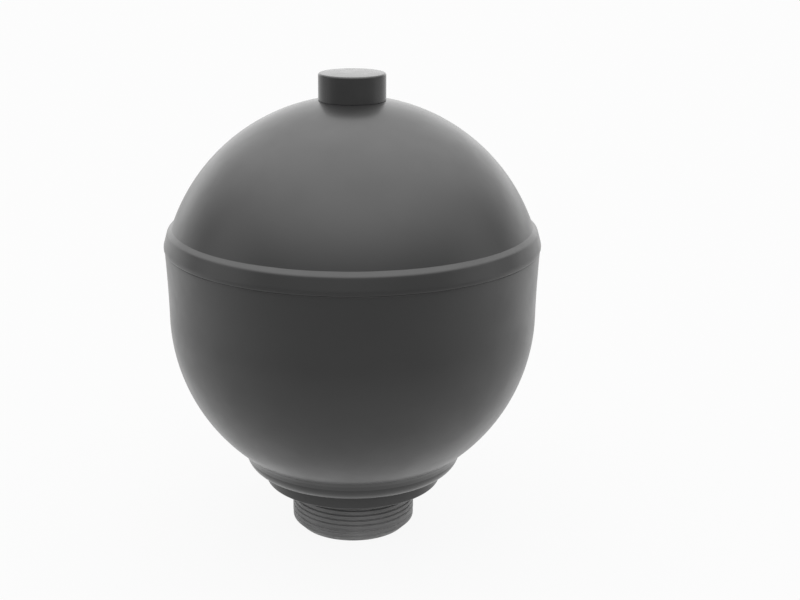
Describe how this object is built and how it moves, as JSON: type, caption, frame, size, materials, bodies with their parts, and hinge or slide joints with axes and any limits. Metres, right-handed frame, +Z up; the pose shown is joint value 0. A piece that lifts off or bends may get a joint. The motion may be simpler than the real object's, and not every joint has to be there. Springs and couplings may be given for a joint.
{
  "type": "diaphragm accumulator",
  "caption": "Round steel diaphragm accumulator with a domed top, weld belt, threaded neck with damper valve, seal ring and capped gas valve, storing fluid against a gas charge.",
  "frame": {"origin": "centre of the neck's end face, on the surface that the vessel stands on", "axes": "+Z up along the vessel's axis, from the neck to the gas cap"},
  "size_m": [0.103, 0.103, 0.1291],
  "materials": {
    "paint": "satin",
    "steel": "turned",
    "zinc": "zinc plated",
    "spring_steel": "tempered",
    "rubber": "moulded",
    "seal_rubber": "moulded",
    "plastic": "moulded"
  },
  "bodies": {
    "vessel": {"lower_shell": "paint", "upper_shell": "paint", "girth_weld": "paint", "threaded_neck": "paint", "neck_weld": "paint", "gas_boss": "steel", "clamp_ring": "steel", "damper_body": "steel", "charging_screw": "zinc", "damper_bolt": "zinc", "damper_nut": "zinc", "upper_washer": "zinc", "lower_washer": "zinc", "upper_shim_large": "spring_steel", "upper_shim_medium": "spring_steel", "upper_shim_small": "spring_steel", "lower_shim_large": "spring_steel", "lower_shim_medium": "spring_steel", "lower_shim_small": "spring_steel", "snap_ring": "spring_steel", "screw_seal": "spring_steel", "diaphragm": "rubber", "seal_ring": "seal_rubber"},
    "button": {"closing_button": "steel", "button_washer": "zinc"},
    "cap": {"gas_cap": "plastic"}
  },
  "joints": [
    {"name": "diaphragm_stroke", "type": "slide", "parent": "vessel", "child": "button", "axis": [0, 0, 1], "range_m": [0, 0.058], "stiffness_N_per_m": 150, "springref_m": -0.01, "deforming": ["diaphragm"]},
    {"name": "cap_pull", "type": "slide", "parent": "vessel", "child": "cap", "axis": [0, 0, 1], "range_m": [0, 0.012]}
  ]
}
